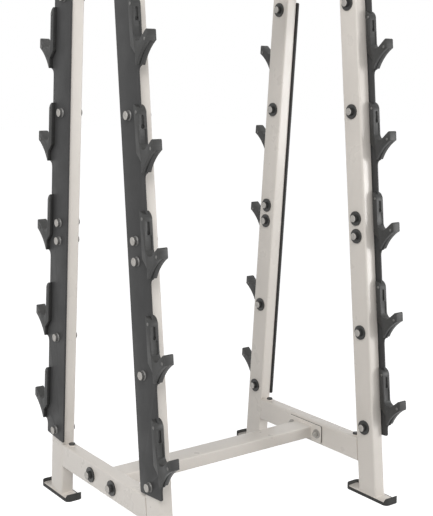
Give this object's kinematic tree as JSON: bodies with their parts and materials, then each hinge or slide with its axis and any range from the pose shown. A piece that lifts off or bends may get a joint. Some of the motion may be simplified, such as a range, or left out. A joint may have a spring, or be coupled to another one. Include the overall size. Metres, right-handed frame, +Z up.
{
  "type": "barbell storage rack",
  "caption": "Free-standing barbell rack with leaning tube legs, hooked steel rails with plastic saddles front and rear, crossbars, beams and rubber shoes.",
  "frame": {"origin": "on the floor, under the middle of the rack", "axes": "+X from the left end frame to the right one along the beams, -Y the front that the picture shows, +Z up"},
  "size_m": [0.9626, 0.8824, 1.8394],
  "materials": {
    "frame_paint": "warm light platinum powder coat, satin",
    "rail_paint": "semi-matte dark grey powder coat",
    "saddle_plastic": "moulded black plastic, matte",
    "bolt_steel": "zinc-plated steel",
    "shoe_rubber": "matte black rubber",
    "cap_plastic": "black plastic, matte"
  },
  "bodies": {
    "root": {"upright_left_front": "frame_paint", "upright_left_rear": "frame_paint", "upright_right_front": "frame_paint", "upright_right_rear": "frame_paint", "crossbar_lower_left": "frame_paint", "crossbar_lower_right": "frame_paint", "crossbar_upper_left": "frame_paint", "crossbar_upper_right": "frame_paint", "beam_lower": "frame_paint", "beam_upper": "frame_paint", "foot_plate_left_front": "frame_paint", "foot_plate_left_rear": "frame_paint", "foot_plate_right_front": "frame_paint", "foot_plate_right_rear": "frame_paint", "rail_left_front": "rail_paint", "rail_left_rear": "rail_paint", "rail_right_front": "rail_paint", "rail_right_rear": "rail_paint", "saddle_left_front_1": "saddle_plastic", "saddle_left_front_2": "saddle_plastic", "saddle_left_front_3": "saddle_plastic", "saddle_left_front_4": "saddle_plastic", "saddle_left_front_5": "saddle_plastic", "saddle_left_rear_1": "saddle_plastic", "saddle_left_rear_2": "saddle_plastic", "saddle_left_rear_3": "saddle_plastic", "saddle_left_rear_4": "saddle_plastic", "saddle_left_rear_5": "saddle_plastic", "saddle_right_front_1": "saddle_plastic", "saddle_right_front_2": "saddle_plastic", "saddle_right_front_3": "saddle_plastic", "saddle_right_front_4": "saddle_plastic", "saddle_right_front_5": "saddle_plastic", "saddle_right_rear_1": "saddle_plastic", "saddle_right_rear_2": "saddle_plastic", "saddle_right_rear_3": "saddle_plastic", "saddle_right_rear_4": "saddle_plastic", "saddle_right_rear_5": "saddle_plastic", "beam_lower_bolt_left_front": "bolt_steel", "beam_lower_bolt_left_rear": "bolt_steel", "beam_lower_bolt_right_front": "bolt_steel", "beam_lower_bolt_right_rear": "bolt_steel", "beam_upper_bolt_left_front": "bolt_steel", "beam_upper_bolt_left_rear": "bolt_steel", "beam_upper_bolt_right_front": "bolt_steel", "beam_upper_bolt_right_rear": "bolt_steel", "foot_shoe_left_front": "shoe_rubber", "foot_shoe_left_rear": "shoe_rubber", "foot_shoe_right_front": "shoe_rubber", "foot_shoe_right_rear": "shoe_rubber", "top_cap_left_front": "cap_plastic", "top_cap_left_rear": "cap_plastic", "top_cap_right_front": "cap_plastic", "top_cap_right_rear": "cap_plastic", "crossbar_plug_left_front": "cap_plastic", "crossbar_plug_left_rear": "cap_plastic", "crossbar_plug_right_front": "cap_plastic", "crossbar_plug_right_rear": "cap_plastic"}
  },
  "joints": []
}
